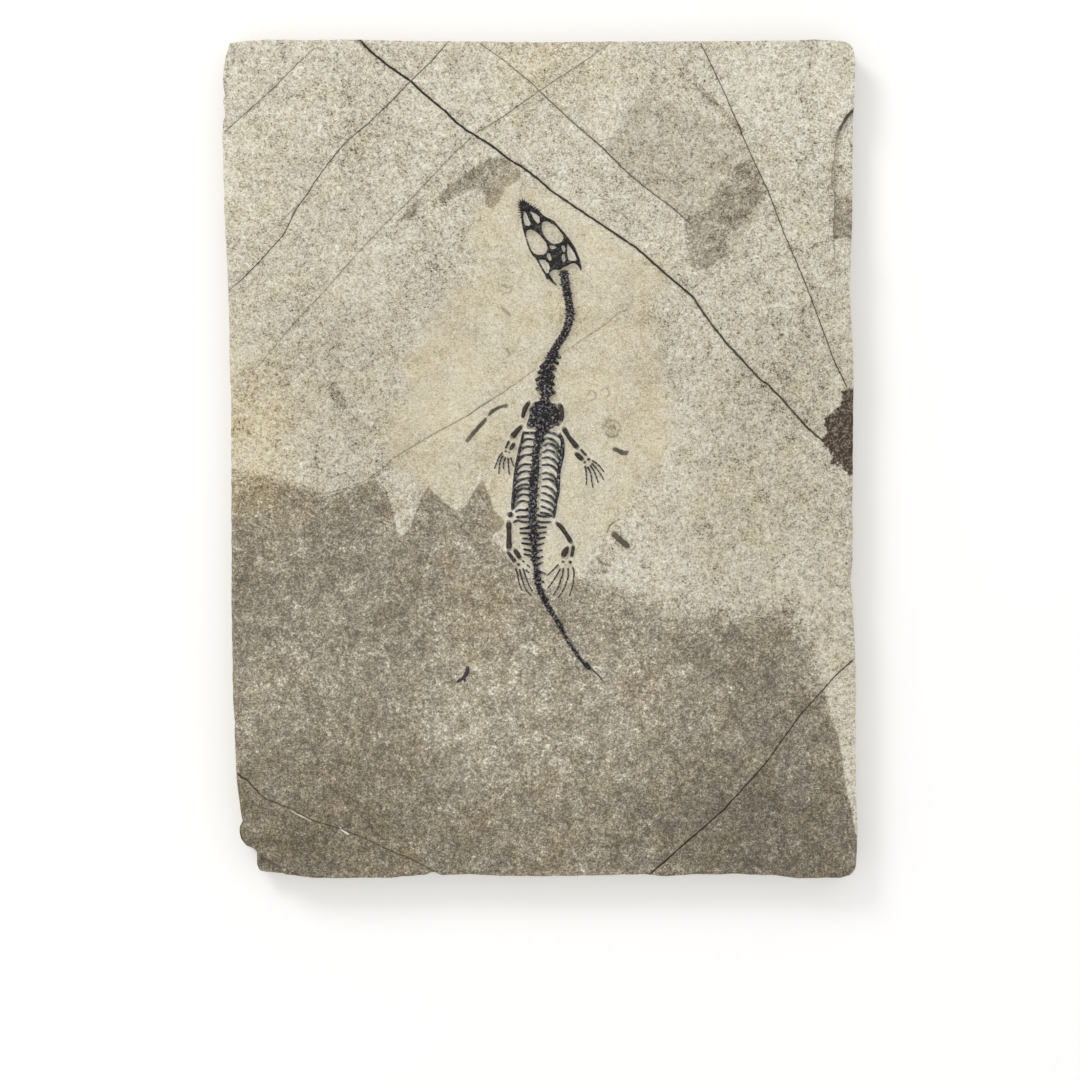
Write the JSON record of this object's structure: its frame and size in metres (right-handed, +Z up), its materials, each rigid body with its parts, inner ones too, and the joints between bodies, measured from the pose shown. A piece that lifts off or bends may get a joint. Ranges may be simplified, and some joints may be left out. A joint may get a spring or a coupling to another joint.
{
  "type": "fossil marine reptile slab",
  "caption": "Flat limestone slab with the dark skeleton of a small long-necked marine reptile lying in low relief on its face.",
  "frame": {"origin": "middle of the slab's box on the face it rests on", "axes": "+X to the right and +Y towards the snout as seen from above, +Z up out of the fossil face"},
  "size_m": [0.2544, 0.3358, 0.0157],
  "materials": {
    "limestone": "matt natural stone, cream above and grey-brown below, with stained cracks",
    "skull_bone": "near-black fossil bone with a dull sheen",
    "backbone": "dark grey fossil bone, mottled, with a dull sheen",
    "limb_bone": "dark brown fossil bone with black rims",
    "digit_bone": "thin black-brown fossil bone",
    "flake_bone": "purple-brown fossil bone"
  },
  "bodies": {
    "root": {"ankle_bone_left_1": "limb_bone", "ankle_bone_left_2": "limb_bone", "ankle_bone_right_1": "limb_bone", "ankle_bone_right_2": "limb_bone", "bone_flake": "flake_bone", "calf_bone_left": "limb_bone", "calf_bone_right": "limb_bone", "finger_left_1": "digit_bone", "finger_left_2": "digit_bone", "finger_left_3": "digit_bone", "finger_left_4": "digit_bone", "finger_left_5": "digit_bone", "finger_right_1": "digit_bone", "finger_right_2": "digit_bone", "finger_right_3": "digit_bone", "finger_right_4": "digit_bone", "finger_right_5": "digit_bone", "hip_bone_left": "limb_bone", "humerus_left": "limb_bone", "humerus_right": "limb_bone", "matrix_slab": "limestone", "neck": "backbone", "radius_left": "limb_bone", "radius_right": "limb_bone", "rib_cage": "backbone", "shin_bone_left": "limb_bone", "shin_bone_right": "limb_bone", "shoulder_blade_left": "limb_bone", "shoulder_blade_right": "limb_bone", "skull": "skull_bone", "tail": "backbone", "thigh_bone_left": "limb_bone", "thigh_bone_right": "limb_bone", "toe_left_1": "digit_bone", "toe_left_2": "digit_bone", "toe_left_3": "digit_bone", "toe_left_4": "digit_bone", "toe_left_5": "digit_bone", "toe_right_1": "digit_bone", "toe_right_2": "digit_bone", "toe_right_3": "digit_bone", "toe_right_4": "digit_bone", "toe_right_5": "digit_bone", "ulna_left": "limb_bone", "ulna_right": "limb_bone", "wrist_bone_left_1": "limb_bone", "wrist_bone_left_2": "limb_bone", "wrist_bone_right_1": "limb_bone", "wrist_bone_right_2": "limb_bone"}
  },
  "joints": []
}
